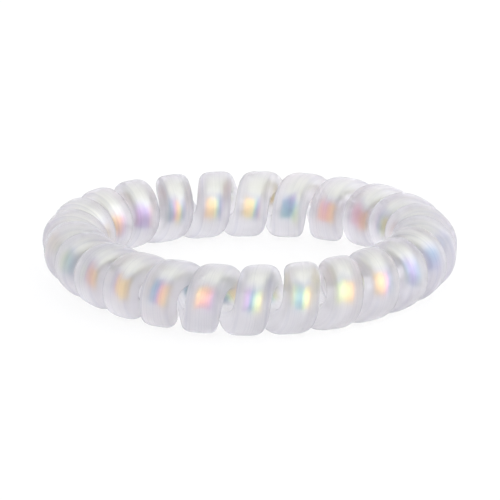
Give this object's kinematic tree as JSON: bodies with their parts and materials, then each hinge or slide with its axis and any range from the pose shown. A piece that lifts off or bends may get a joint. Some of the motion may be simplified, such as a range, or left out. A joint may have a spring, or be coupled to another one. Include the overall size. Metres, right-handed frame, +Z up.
{
  "type": "spiral hair tie",
  "caption": "Ring-shaped elastic hair tie made of a flattened frosted cord wound in a spiral, with an iridescent strip inside the cord.",
  "frame": {"origin": "middle of the ring, at the level of the surface it rests on", "axes": "+Z up along the ring's own axis; the ring lies flat in XY, and -Y is the side nearest the viewer"},
  "size_m": [0.0551, 0.0551, 0.009],
  "materials": {
    "frosted_plastic": "soft frosted see-through",
    "iridescent_film": "iridescent mirror-like"
  },
  "bodies": {
    "root": {"cord": "frosted_plastic", "film": "iridescent_film"}
  },
  "joints": []
}
